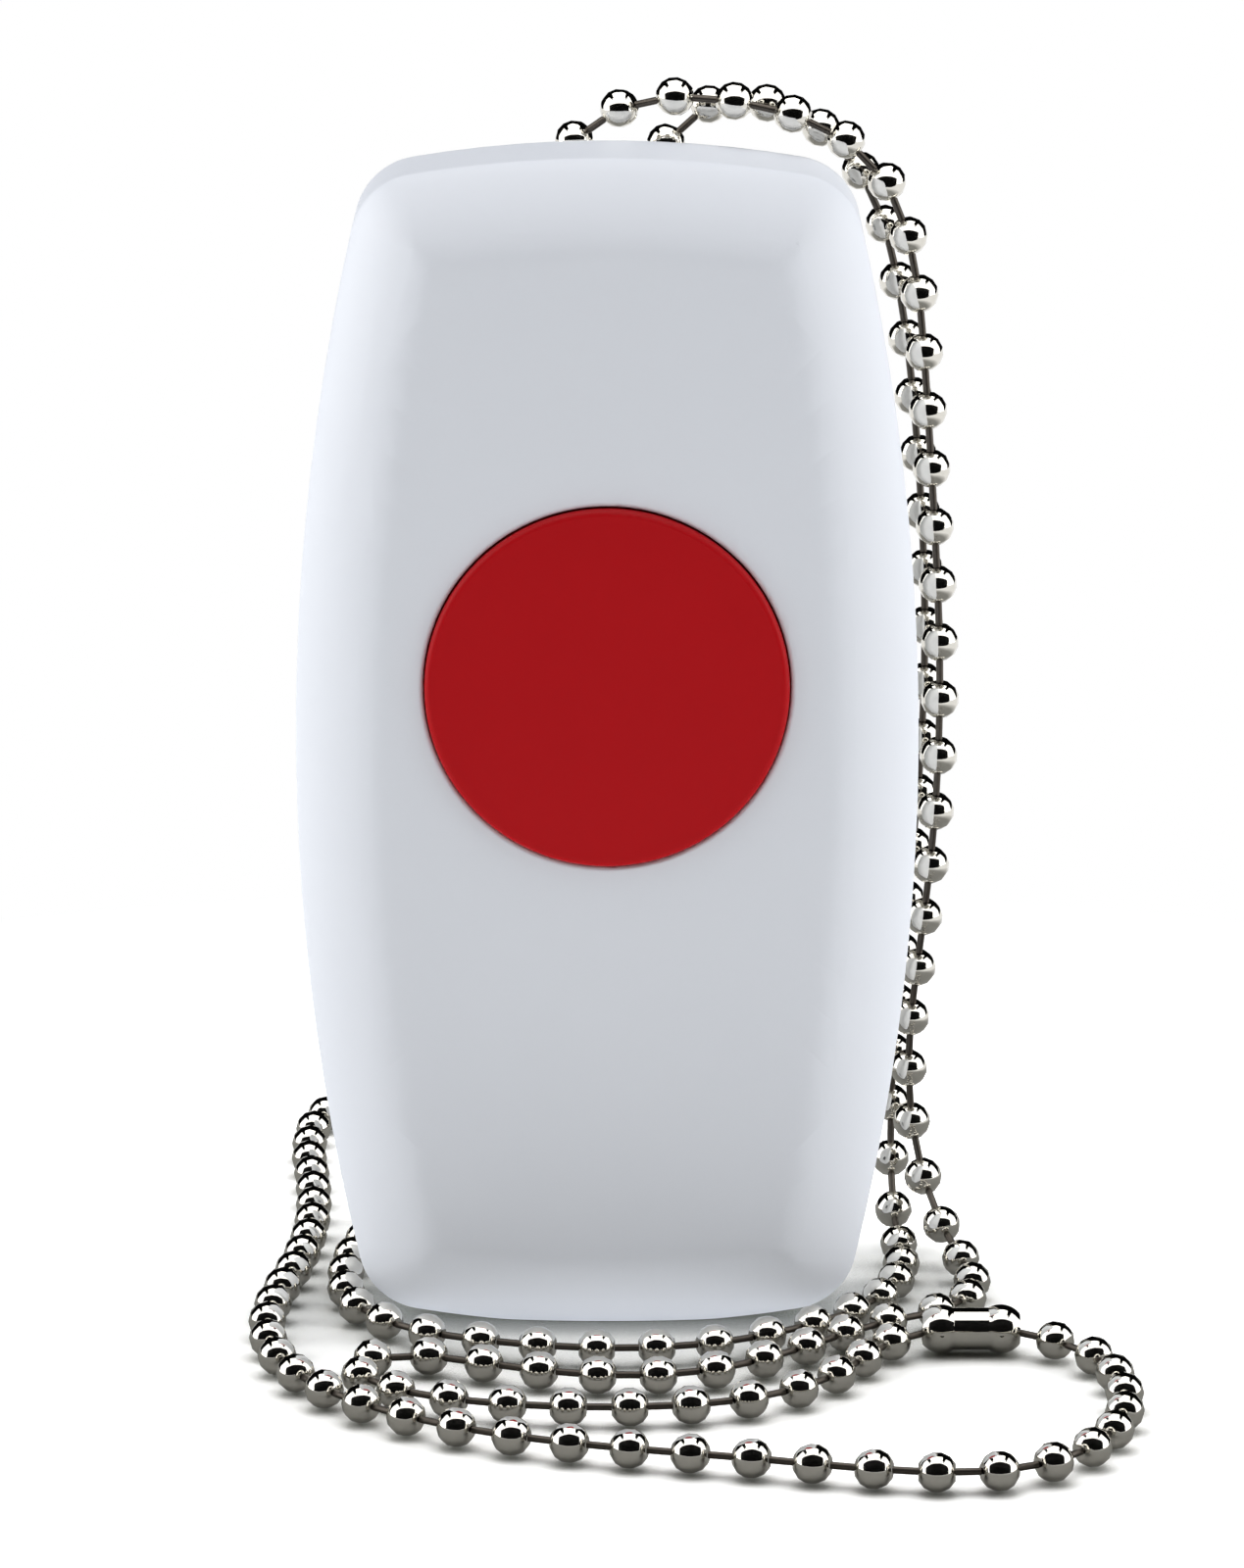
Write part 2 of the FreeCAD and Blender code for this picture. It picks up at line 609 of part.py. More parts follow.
def rod(name, radius, length, depth, height, across="0"):
    """A cylinder that stands forward from the given depth."""
    cylinder = doc.addObject("Part::Cylinder", name)
    tie(cylinder, "Radius", radius)
    tie(cylinder, "Height", length)
    cylinder.Placement = FreeCAD.Placement(V(0, 0, 0), FreeCAD.Rotation(V(1, 0, 0), 90))
    tie(cylinder, "Placement.Base.x", across)
    tie(cylinder, "Placement.Base.y", f"-({depth})")
    tie(cylinder, "Placement.Base.z", height)
    return cylinder


def fuse(name, members):
    joined = doc.addObject("Part::MultiFuse", name)
    joined.Label = name
    joined.Shapes = members
    joined.Refine = True
    doc.recompute()
    return joined


def make_switch_legs():
    """Four flat legs that solder the switch to the board."""
    legs = []
    for side in ("", "-"):
        for row in ("+", "-"):
            across = f"{side}(switch_side / 2 + leg_reach / 2)"
            height = f"button_height {row} leg_across"
            leg = ("leg_reach", "leg_thickness", "leg_width")
            legs.append(block("SwitchLeg", *leg, "board_depth", height, across))
    return group("switch_legs", legs)


CELL_FRONT = "(-board_thickness + board_depth - contact_thickness)"
CELL_BACK = "(-board_thickness + board_depth - contact_thickness - cell_thickness)"


def make_coin_cell():
    """Lithium coin cell: a rounded can whose smaller negative face meets the board's contact."""
    body = new_body("coin_cell")
    can = sketch_at(body, "cell_can", CELL_BACK, "cell_height")
    draw_circle(can, "cell_radius")
    drum = pad(body, can, "cell_thickness - cell_step")
    back = -size(CELL_BACK)
    round_edges(body, drum, "cell_edge", "cell_step / 2", lambda edge: in_plane(edge, back))
    lid = sketch_at(body, "cell_lid", f"{CELL_FRONT} - cell_step", "cell_height")
    draw_circle(lid, "cell_radius - cell_rim")
    pad(body, lid, "cell_step")
    return body


def make_battery_holder():
    """Moulded ring that holds the cell on the board, open below so that a fingertip can lift the cell."""
    body = new_body("battery_holder")
    ring = sketch_at(body, "holder_ring", f"-{BOARD_BACK} - cradle_thickness", "cell_height")
    draw_circle(ring, "cell_radius + cradle_gap + cradle_wall")
    draw_circle(ring, "cell_radius + cradle_gap")
    pad(body, ring, "cradle_thickness")
    lift = sketch_at(body, "holder_gap", f"-{BOARD_BACK} - cradle_thickness", "cell_height - cell_radius")
    draw_box(lift, "cell_radius", "cell_radius / 2")
    pocket(body, lift, "cradle_notch", True)
    return body


def make_positive_contact():
    """Spring-steel strap over the cell, its two feet soldered to the board outside the holder."""
    reach = "(cell_radius + cradle_gap + cradle_wall + strap_thickness)"
    rise = f"(-({CELL_BACK}) + strap_thickness - {BOARD_BACK})"
    plate_at = f"{CELL_BACK} - strap_thickness"
    members = [block("StrapPlate", f"2 * {reach}", "strap_thickness", "strap_width", plate_at, "cell_height")]
    leg = ("strap_thickness", rise, "strap_width", f"-{BOARD_BACK} - {rise}")
    foot_front = f"-{BOARD_BACK} - strap_thickness"
    foot = ("strap_foot + strap_thickness", "strap_thickness", "strap_width", foot_front)
    for side in ("", "-"):
        leg_at = f"{side}({reach} - strap_thickness / 2)"
        foot_at = f"{side}({reach} + strap_foot / 2 - strap_thickness / 2)"
        members.append(block("StrapLeg", *leg, "cell_height", leg_at))
        members.append(block("StrapFoot", *foot, "cell_height", foot_at))
    return fuse("battery_contact_positive", members)


def make_negative_contact():
    """Round contact plate on the board, under the cell."""
    plate = rod("battery_contact_negative", "contact_radius", "contact_thickness", CELL_FRONT, "cell_height")
    plate.Label = "battery_contact_negative"
    doc.recompute()
    return plate


def make_chip():
    """Radio chip on the board's back, with the moulded dimple that marks its first leg."""
    body = new_body("transmitter_chip")
    top = f"-{BOARD_BACK} - chip_thickness"
    package = sketch_at(body, "chip_package", top, CHIP_HEIGHT, "-chip_across")
    draw_box(package, "chip_side", "chip_side")
    pad(body, package, "chip_thickness")
    corner = (CHIP_HEIGHT + " + chip_side / 3", "-chip_across - chip_side / 3")
    dimple = sketch_at(body, "first_leg_mark", top, *corner)
    draw_circle(dimple, "chip_dimple")
    pocket(body, dimple, "chip_dimple_depth", True)
    return body


def make_resonator():
    """Metal can of the resonator that sets the radio's frequency."""
    body = new_body("saw_resonator")
    outline = sketch_at(body, "can_outline", f"-{BOARD_BACK} - can_thickness", CHIP_HEIGHT, "chip_across")
    draw_box(outline, "can_length", "can_width")
    can = pad(body, outline, "can_thickness")
    thickness = size("can_thickness")

    def on_corner(edge):
        return abs(edge.BoundBox.YLength - thickness) < 1e-4

    round_edges(body, can, "can_corners", "can_round", on_corner)
    return body


RESISTOR_ROW = "(cell_height + cell_radius + cradle_gap + cradle_wall + row_gap + resistor_length / 2)"
CAPACITOR_ROW = f"({RESISTOR_ROW} + (resistor_length + capacitor_length) / 2 + row_gap)"


def make_row(label, count, length, thickness, height):
    """A row of small soldered pieces along the board's back."""
    members = []
    for step in range(count):
        across = f"{step - (count - 1) / 2} * row_pitch"
        top = f"-{BOARD_BACK} - {thickness}"
        members.append(block("RowPiece", f"{length} / 2", thickness, length, top, height, across))
    return group(label, members)


def make_antenna():
    """Stamped loop antenna on the board's front, above the button."""
    body = new_body("antenna_loop")
    loop = sketch_at(body, "loop_track", "board_depth", "body_height - antenna_drop")
    draw_box(loop, ANTENNA_WIDTH, "antenna_tall")
    draw_box(loop, ANTENNA_WIDTH + " - 2 * antenna_track", "antenna_tall - 2 * antenna_track")
    pad(body, loop, "antenna_thickness")
    return body


def make_screw(name, head, shank, seat, height, across):
    """A pan-head screw pointing forward, with a cross recess; head and shank are (radius, length)."""
    head_back = f"{seat} - {head[1]}"
    plain = fuse(
        name + "Blank",
        [
            rod(name + "Head", head[0], head[1], head_back, height, across),
            rod(name + "Shank", shank[0], shank[1], seat, height, across),
        ],
    )
    depth = f"({head[1]}) / 2"
    cross = fuse(
        name + "Cross",
        [
            block(name + "Slot", f"1.2 * {head[0]}", depth, "drive_width", head_back, height, across),
            block(name + "Slot", "drive_width", depth, f"1.2 * {head[0]}", head_back, height, across),
        ],
    )
    screw = doc.addObject("Part::Cut", name)
    screw.Base = plain
    screw.Tool = cross
    return screw


def make_cover_screws():
    """Four screws that pass through the rear cover's pillars into the front cover's."""
    screws = []
    for across in (SCREW_ACROSS, "-" + SCREW_ACROSS):
        for sign in ("+", "-"):
            screws.append(
                make_screw(
                    "CoverScrew",
                    ("screw_head_radius", "screw_head_height"),
                    ("screw_radius", "screw_length"),
                    "screw_head_height + screw_sink - housing_back",
                    f"{BODY_MIDDLE} {sign} {SCREW_ALONG}",
                    across,
                )
            )
    return group("cover_screws", screws)


def make_board_screws():
    """Two small screws that hold the board on its posts."""
    screws = [
        make_screw(
            "BoardScrew",
            ("board_screw_head_radius", "board_screw_head_height"),
            ("board_screw_radius", "board_screw_length"),
            f"-{BOARD_BACK}",
            "button_height",
            across,
        )
        for across in (POST_ACROSS, "-" + POST_ACROSS)
    ]
    return group("board_screws", screws)


def rounded_route(points):
    """Straight runs joined by tangent arcs, each as wide as its two runs allow."""
    edges, radii = [], []
    here = points[0]
    for before, corner, after in zip(points, points[1:], points[2:]):
        back, ahead = (before - corner), (after - corner)
        run = min(back.Length, ahead.Length)
        back.normalize()
        ahead.normalize()
        half_turn = (math.pi - back.getAngle(ahead)) / 2
        radii.append(0.45 * run / math.tan(half_turn))
        start, stop = corner + back * 0.45 * run, corner + ahead * 0.45 * run
        inward = back + ahead
        inward.normalize()
        centre = corner + inward * (radii[-1] / math.cos(half_turn))
        edges.append(Part.LineSegment(here, start).toShape())
        edges.append(Part.Arc(start, centre - inward * radii[-1], stop).toShape())
        here = stop
    edges.append(Part.LineSegment(here, points[-1]).toShape())
    return Part.Wire(edges), radii


BEAD_SIDES = 6
BEAD_RINGS = ((-0.92, 0.4), (-0.4, 0.96), (0.4, 0.96), (0.92, 0.4))


def bead_solid(radius):
    """One ball of the chain with few faces: rings of points, flat where the links enter it."""
    rings = []
    for along, out in BEAD_RINGS:
        turns = [2 * math.pi * step / BEAD_SIDES for step in range(BEAD_SIDES)]
        rings.append([V(out * math.cos(turn), out * math.sin(turn), along) * radius for turn in turns])
    loops = [rings[0], rings[-1]]
    for low, high in zip(rings, rings[1:]):
        for step in range(BEAD_SIDES):
            after = (step + 1) % BEAD_SIDES
            loops.append([low[step], low[after], high[after], high[step]])
    faces = [Part.Face(Part.makePolygon(loop + loop[:1])) for loop in loops]
    return Part.makeSolid(Part.makeShell(faces))


def plain_feature(label, shapes):
    """A node of like solids that no feature of the document can lay along a route."""
    feature = doc.addObject("Part::Feature", label)
    feature.Label = label
    feature.Shape = Part.makeCompound(shapes)
    return feature


def make_chain():
    """Ball chain: beads at even steps along the route, and a wire link between each two."""
    wire, radii = rounded_route(CHAIN_ROUTE)
    gaps = round(wire.Length / size("bead_pitch"))
    print(f"chain {wire.Length:.1f} mm, {gaps + 1} beads, radii", *(f"{radius:.1f}" for radius in radii))
    centres = wire.discretize(Number=gaps + 1)
    radius, link = size("bead_radius"), size("link_radius")
    cap = BEAD_RINGS[-1][0] * radius
    ball = bead_solid(radius)
    beads, links, axes = [], [], []
    for step, centre in enumerate(centres):
        axis = centres[min(step + 1, gaps)] - centres[max(step - 1, 0)]
        axis.normalize()
        axes.append(axis)
        bead = ball.copy()
        bead.Placement = FreeCAD.Placement(centre, FreeCAD.Rotation(V(0, 0, 1), axis))
        beads.append(bead)
    for step in range(gaps):
        span = centres[step + 1] - centres[step]
        ends = []
        for axis in (axes[step], axes[step + 1]):
            tilt = span.getAngle(axis)
            ends.append(cap / math.cos(tilt) + link * math.tan(tilt) + size("thread_gap") / 2)
        length = span.Length - sum(ends)
        span.normalize()
        square = [V(link, 0, 0), V(0, link, 0), V(-link, 0, 0), V(0, -link, 0), V(link, 0, 0)]
        bar = Part.Face(Part.makePolygon(square)).extrude(V(0, 0, length))
        bar.Placement = FreeCAD.Placement(centres[step] + span * ends[0], FreeCAD.Rotation(V(0, 0, 1), span))
        links.append(bar)
    return [plain_feature("chain_beads", beads), plain_feature("chain_links", links)]


def make_connector():
    """Pressed sleeve that closes the chain: two domes over the end beads, slotted behind, with open ends."""
    middle = size("bead_pitch") / 2
    outer, wall = size("sleeve_radius"), size("sleeve_wall")
    forms = []
    for radius, waist in ((outer, outer - wall), (outer - wall, outer - 2 * wall)):
        form = Part.makeCylinder(waist, 2 * middle, V(-middle, 0, 0), V(1, 0, 0))
        forms.append(form.multiFuse([Part.makeSphere(radius, V(side * middle, 0, 0)) for side in (-1, 1)]))
    shell = forms[0].cut(forms[1])
    reach = middle + outer
    slot = size("sleeve_slot")
    shell = shell.cut(Part.makeBox(2 * reach, slot, 2 * outer, V(-reach, -slot / 2, 0)))
    shell = shell.cut(Part.makeCylinder(size("sleeve_mouth"), 2 * reach, V(-reach, 0, 0), V(1, 0, 0)))
    feature = doc.addObject("Part::Feature", "chain_connector")
    feature.Label = "chain_connector"
    feature.Shape = shell
    place = (CHAIN_ROUTE[0] + CHAIN_ROUTE[-1]) / 2
    place.z = size("sleeve_radius + floor_gap")
    feature.Placement = FreeCAD.Placement(place, FreeCAD.Rotation(V(1, 0, 0), -90))
    return feature


nodes = [
    make_front_cover(),
    make_rear_cover(),
    make_gasket(),
    make_button(),
    make_button_seal(),
    make_board(),
    make_switch_base(),
    make_switch_frame(),
    make_switch_plunger(),
    make_switch_legs(),
    make_coin_cell(),
    make_battery_holder(),
    make_positive_contact(),
    make_negative_contact(),
    make_chip(),
    make_resonator(),
    make_row("chip_capacitors", 6, "capacitor_length", "capacitor_thickness", CAPACITOR_ROW),
    make_row("chip_resistors", 5, "resistor_length", "resistor_thickness", RESISTOR_ROW),
    make_antenna(),
    make_cover_screws(),
    make_board_screws(),
    *make_chain(),
    make_connector(),
]

doc.recompute()
for thing in doc.Objects:
    if {"Invalid", "Error"} & set(thing.State):
        raise RuntimeError(f"{thing.Label}: {thing.State}")
for node in nodes:
    if node.Shape.isNull() or not node.Shape.isValid():
        raise RuntimeError(f"{node.Label}: no valid shape")
for node in nodes:
    node.Shape.exportStep(f"parts/{node.Label}.step")
print(len(nodes), "nodes written")
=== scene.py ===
import math

import bmesh
import bpy
from mathutils import Matrix, Vector


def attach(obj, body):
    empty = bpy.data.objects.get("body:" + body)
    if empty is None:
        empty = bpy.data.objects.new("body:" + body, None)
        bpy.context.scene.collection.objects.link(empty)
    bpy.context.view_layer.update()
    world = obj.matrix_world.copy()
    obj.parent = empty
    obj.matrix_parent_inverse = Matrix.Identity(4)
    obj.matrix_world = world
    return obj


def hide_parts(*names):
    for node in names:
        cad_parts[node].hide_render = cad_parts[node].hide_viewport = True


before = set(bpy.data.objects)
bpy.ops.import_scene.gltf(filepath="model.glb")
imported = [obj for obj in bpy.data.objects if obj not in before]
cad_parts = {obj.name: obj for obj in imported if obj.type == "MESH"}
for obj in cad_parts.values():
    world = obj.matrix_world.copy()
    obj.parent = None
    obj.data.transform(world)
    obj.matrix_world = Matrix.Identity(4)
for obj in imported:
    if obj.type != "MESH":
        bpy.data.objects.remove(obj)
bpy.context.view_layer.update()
scene = bpy.context.scene
bpy.ops.object.select_all(action="DESELECT")
scene.view_settings.view_transform = "Standard"

# Camera. It looks at the button side from a little above, from as far off as the near-parallel sides of the housing
# in the photograph ask for, and holds the wide loop of chain on the right as well.

CAMERA_PLACE = (0.0009, -0.4363, 0.13432)
CAMERA_LENS = 166.8
LOOKS_DOWN = 13

camera_data = bpy.data.cameras.new("camera")
camera_data.lens = CAMERA_LENS
camera_data.sensor_width = 36
camera = bpy.data.objects.new("camera", camera_data)
camera.location = CAMERA_PLACE
camera.rotation_euler = (math.radians(90 - LOOKS_DOWN), 0, 0)
scene.collection.objects.link(camera)
scene.camera = camera

# Housing. Two covers injection-moulded in pale blue-grey ABS with a fine satin spark texture, closed by four screws
# from behind. The front cover's flat face runs out into a broad, soft shoulder all round.

FRONT_DEPTH = 0.0063
SHOULDER_DEPTH = 0.0038
SHOULDER_WIDTH = 0.0053
SHOULDER_POWER = 1.35
MIDDLE_HEIGHT = 0.03623
SIDE_RADIUS, SIDE_OFFSET = 0.144, 0.12495
END_RADIUS, END_OFFSET = 0.072, 0.03543
CORNER_RADIUS, CORNER_X, CORNER_Z = 0.0043, 0.011190, 0.031339


def from_outline(place):
    """How far a place on the front lies inside the barrel outline: two side arcs, two end arcs and corner arcs."""
    across, along = abs(place.x), abs(place.z - MIDDLE_HEIGHT)
    side = SIDE_RADIUS - math.hypot(across + SIDE_OFFSET, along)
    end = END_RADIUS - math.hypot(across, along + END_OFFSET)
    out_x, out_z = across - CORNER_X, along - CORNER_Z
    past_side = out_z * (CORNER_X + SIDE_OFFSET) - out_x * CORNER_Z
    past_end = out_x * (CORNER_Z + END_OFFSET) - out_z * CORNER_X
    if past_side > 0 and past_end > 0:
        return CORNER_RADIUS - math.hypot(out_x, out_z)
    return min(side, end)


def shoulder_depth(inside, width, power):
    """The depth of a rounded shoulder of that width at a distance inside the outline; power 2 is an ellipse."""
    share = max(0, 1 - max(inside, 0) / width)
    return -FRONT_DEPTH + SHOULDER_DEPTH * (1 - (1 - share**power) ** (1 / power))


front_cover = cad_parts["front_cover"]
front_shell = front_cover.copy()
front_shell.data = front_cover.data.copy()
front_shell.name = "front_shell"
front_shell.data.name = "front_shell"
scene.collection.objects.link(front_shell)
bpy.context.view_layer.objects.active = front_shell
front_shell.select_set(True)
bpy.ops.object.mode_set(mode="EDIT")
bpy.ops.mesh.select_all(action="SELECT")
bpy.ops.mesh.remove_doubles(threshold=0.000002)
shell_edit = bmesh.from_edit_mesh(front_shell.data)
cuts = [(side * 0.0005 * across, 0) for side in (-1, 1) for across in range(16, 32)]
cuts += [(0, MIDDLE_HEIGHT + side * 0.0004 * along) for side in (-1, 1) for along in range(70, 82)]
for across, up in cuts:
    flat = [
        face for face in shell_edit.faces
        if face.normal.y < -0.999 and all(abs(vertex.co.y + FRONT_DEPTH) < 0.00001 for vertex in face.verts)
    ]
    around = {edge for face in flat for edge in face.edges} | {vertex for face in flat for vertex in face.verts}
    bmesh.ops.bisect_plane(
        shell_edit, geom=flat + list(around), plane_co=(across, 0, up), plane_no=(0, 0, 1) if up else (1, 0, 0),
    )
for vertex in shell_edit.verts:
    inside = from_outline(vertex.co)
    if inside < SHOULDER_WIDTH and abs(vertex.co.y - shoulder_depth(inside, SHOULDER_DEPTH, 2)) < 0.00008:
        vertex.co.y = shoulder_depth(inside, SHOULDER_WIDTH, SHOULDER_POWER)
bmesh.update_edit_mesh(front_shell.data)
bpy.ops.object.mode_set(mode="OBJECT")
bpy.ops.object.shade_smooth_by_angle(angle=math.radians(30))
weighted = front_shell.modifiers.new("even_shading", "WEIGHTED_NORMAL")
weighted.keep_sharp = True
weighted.weight = 100
bpy.ops.object.modifier_apply(modifier=weighted.name)
front_shell.select_set(False)


def to_linear(hex_colour):
    """An sRGB hex colour as the linear values that shaders take."""
    parts = [int(hex_colour[start:start + 2], 16) / 255 for start in (1, 3, 5)]
    return (*[part / 12.92 if part <= 0.04045 else ((part + 0.055) / 1.055) ** 2.4 for part in parts], 1)


def add_node(tree, kind, settings=None, links=None, **values):
    """Adds a node: settings are its properties, values its input defaults by name, links its inputs' sources."""
    node = tree.nodes.new(kind)
    for name, value in (settings or {}).items():
        setattr(node, name, value)
    for name, value in values.items():
        node.inputs[name.replace("_", " ")].default_value = value
    for name, source in (links or {}).items():
        tree.links.new(source, node.inputs[name])
    return node


def new_material(name):
    """An empty node material, and the object coordinates that its patterns read."""
    material = bpy.data.materials.new(name)
    material.use_nodes = True
    material.node_tree.nodes.clear()
    tree = material.node_tree
    return material, tree, add_node(tree, "ShaderNodeTexCoord").outputs["Object"]


def finish_material(tree, shader):
    add_node(tree, "ShaderNodeOutputMaterial", links={"Surface": shader.outputs["BSDF"]})


# ABS with a satin spark texture: the grain, about 0.3 mm across, is drawn coarser than the real 0.1 mm.
housing_abs, tree, where = new_material("satin_moulded_abs")
grain = add_node(tree, "ShaderNodeTexNoise", links={"Vector": where}, Scale=3300, Detail=4, Roughness=0.6)
cloud = add_node(tree, "ShaderNodeTexNoise", links={"Vector": where}, Scale=60, Detail=2)
tint = add_node(tree, "ShaderNodeMix", {"data_type": "RGBA"}, {"Factor": cloud.outputs["Fac"]})
tint.inputs[6].default_value = to_linear("#DBDFE7")
tint.inputs[7].default_value = to_linear("#D8DCE4")
rough = add_node(tree, "ShaderNodeMapRange", links={"Value": grain.outputs["Fac"]}, To_Min=0.4, To_Max=0.52)
bump = add_node(tree, "ShaderNodeBump", links={"Height": grain.outputs["Fac"]}, Strength=0.1, Distance=0.00003)
shader = add_node(
    tree, "ShaderNodeBsdfPrincipled",
    links={
        "Base Color": tint.outputs[2], "Roughness": rough.outputs["Result"], "Normal": bump.outputs["Normal"],
    },
    IOR=1.5,
)
finish_material(tree, shader)


def dress(piece, material):
    """Gives a piece its one material."""
    piece.data.materials.clear()
    piece.data.materials.append(material)


dress(front_shell, housing_abs)
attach(front_shell, "housing")
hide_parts("front_cover")
dress(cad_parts["rear_cover"], housing_abs)

# Push button. A red ABS cap, moulded with a finer satin than the housing, which stands half a millimetre proud.

BUTTON_HEIGHT = 0.041
RIM_REACH = 0.0102
RIM_BACK = -0.0047
RIM_WIDER = 0.00012

# ABS with a finer satin, which takes only a weak shine, so the red stays deep and even.
button_abs, tree, where = new_material("red_satin_abs")
grain = add_node(tree, "ShaderNodeTexNoise", links={"Vector": where}, Scale=4000, Detail=4)
cloud = add_node(tree, "ShaderNodeTexNoise", links={"Vector": where}, Scale=90, Detail=2)
tint = add_node(tree, "ShaderNodeMix", {"data_type": "RGBA"}, {"Factor": cloud.outputs["Fac"]})
tint.inputs[6].default_value = to_linear("#B10812")
tint.inputs[7].default_value = to_linear("#A90610")
rough = add_node(tree, "ShaderNodeMapRange", links={"Value": grain.outputs["Fac"]}, To_Min=0.3, To_Max=0.4)
bump = add_node(tree, "ShaderNodeBump", links={"Height": grain.outputs["Fac"]}, Strength=0.08, Distance=0.00003)
shader = add_node(
    tree, "ShaderNodeBsdfPrincipled",
    links={
        "Base Color": tint.outputs[2], "Roughness": rough.outputs["Result"], "Normal": bump.outputs["Normal"],
    },
    IOR=1.45, Specular_IOR_Level=0.12,
)
finish_material(tree, shader)
button_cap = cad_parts["panic_button"].copy()
button_cap.data = button_cap.data.copy()
button_cap.name = "button_cap"
button_cap.data.name = "button_cap"
scene.collection.objects.link(button_cap)
for vertex in button_cap.data.vertices:
    reach = math.hypot(vertex.co.x, vertex.co.z - BUTTON_HEIGHT)
    if vertex.co.y < RIM_BACK and reach > RIM_REACH:
        vertex.co.x *= 1 + RIM_WIDER / reach
        vertex.co.z += (vertex.co.z - BUTTON_HEIGHT) * RIM_WIDER / reach
dress(button_cap, button_abs)
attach(button_cap, "button")
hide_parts("panic_button")

# Seals. A round-cornered ring in the groove between the covers and a thin one behind the button's flange, both cut
# from grey silicone rubber, dull and a little dusty.


def moulded_or_plated(name, first, second, grain_size, smooth, coarse, metal=0.0, relief=0.0):
    """A finish with two shades and two roughnesses that change over grains of a size in metres."""
    material, tree, where = new_material(name)
    grain = add_node(tree, "ShaderNodeTexNoise", links={"Vector": where}, Scale=1 / grain_size, Detail=3)
    tint = add_node(tree, "ShaderNodeMix", {"data_type": "RGBA"}, {"Factor": grain.outputs["Fac"]})
    tint.inputs[6].default_value = to_linear(first)
    tint.inputs[7].default_value = to_linear(second)
    rough = add_node(tree, "ShaderNodeMapRange", links={"Value": grain.outputs["Fac"]}, To_Min=smooth, To_Max=coarse)
    bump = add_node(tree, "ShaderNodeBump", links={"Height": grain.outputs["Fac"]}, Strength=relief, Distance=0.00003)
    shader = add_node(
        tree, "ShaderNodeBsdfPrincipled",
        links={
            "Base Color": tint.outputs[2], "Roughness": rough.outputs["Result"], "Normal": bump.outputs["Normal"],
        },
        Metallic=metal,
    )
    finish_material(tree, shader)
    return material


# Silicone rubber, cut from sheet: dull grey, with a little dust on it.
silicone = moulded_or_plated("grey_silicone_rubber", "#85888C", "#7C7F83", 0.0004, 0.55, 0.7, relief=0.1)
for name in ("housing_gasket", "button_seal"):
    dress(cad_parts[name], silicone)

# Circuit board. Woven glass and epoxy, 1 mm thick, under green solder resist, and notched for the housing's pillars.

# Solder resist, printed on: glossy green, with the weave's 0.5 mm squares showing through it.
board_resist, tree, where = new_material("green_solder_resist")
turned = add_node(tree, "ShaderNodeMapping", links={"Vector": where})
turned.inputs["Rotation"].default_value = (math.radians(90), 0, 0)
weave = add_node(tree, "ShaderNodeTexChecker", links={"Vector": turned.outputs[0]}, Scale=2000)
weave.inputs["Color1"].default_value = to_linear("#1C6B3E")
weave.inputs["Color2"].default_value = to_linear("#186238")
cloud = add_node(tree, "ShaderNodeTexNoise", links={"Vector": where}, Scale=300, Detail=2)
rough = add_node(tree, "ShaderNodeMapRange", links={"Value": cloud.outputs["Fac"]}, To_Min=0.22, To_Max=0.34)
shader = add_node(
    tree, "ShaderNodeBsdfPrincipled",
    links={"Base Color": weave.outputs["Color"], "Roughness": rough.outputs["Result"]}, IOR=1.5,
)
finish_material(tree, shader)
dress(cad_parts["circuit_board"], board_resist)

# Antenna. A rectangular loop stamped from copper sheet and soldered above the button.

# Bare copper, left as stamped: a warm metal with faint patches about 1 mm across.
dress(
    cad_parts["antenna_loop"],
    moulded_or_plated("stamped_copper", "#C98A5E", "#BF7F54", 0.0012, 0.22, 0.36, metal=1.0),
)

# Tactile switch. A square black nylon base with a round plunger, held down by a pressed tin-plated cover on four legs.

# Nylon, moulded: matt black. Tin plate on spring steel: a soft, slightly yellow white metal.
black_nylon = moulded_or_plated("black_moulded_nylon", "#1F1F21", "#1A1A1C", 0.0005, 0.42, 0.55, relief=0.1)
tinned_steel = moulded_or_plated("tin_plated_spring_steel", "#C9C8C4", "#BEBDB9", 0.0006, 0.2, 0.34, metal=1.0)
for name in ("switch_base", "switch_plunger"):
    dress(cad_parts[name], black_nylon)
for name in ("switch_frame", "switch_legs"):
    dress(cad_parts[name], tinned_steel)

# Battery. A 20 mm lithium cell in a deep-drawn stainless can, in a black nylon ring, between a round contact plate
# and a sprung strap of tin-plated steel.

# Stainless steel, deep-drawn: a cool, bright metal with long soft patches.
dress(
    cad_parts["coin_cell"],
    moulded_or_plated("drawn_stainless_can", "#D2D2D2", "#C6C6C7", 0.0015, 0.14, 0.26, metal=1.0),
)
dress(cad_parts["battery_holder"], black_nylon)
for name in ("battery_contact_positive", "battery_contact_negative"):
    dress(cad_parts[name], tinned_steel)

# Radio parts. The chip is moulded in black epoxy and the resonator's can is nickel-plated.

# Moulding epoxy: grey-black and matt, with a fine grain. Nickel plate on the can: a warm, half-bright metal.
dress(
    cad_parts["transmitter_chip"],
    moulded_or_plated("black_moulding_epoxy", "#232325", "#1C1C1E", 0.0003, 0.5, 0.62, relief=0.15),
)
dress(
    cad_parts["saw_resonator"],
    moulded_or_plated("nickel_plated_can", "#CFCBC0", "#C3BFB4", 0.0008, 0.2, 0.32, metal=1.0),
)

# Capacitors and resistors. Small fired ceramic bricks with tinned ends, soldered in two rows below the chip.

CAPACITOR_ROW, CAPACITOR_BODY = 0.03765, 0.00048
RESISTOR_ROW, RESISTOR_BODY = 0.03405, 0.00065


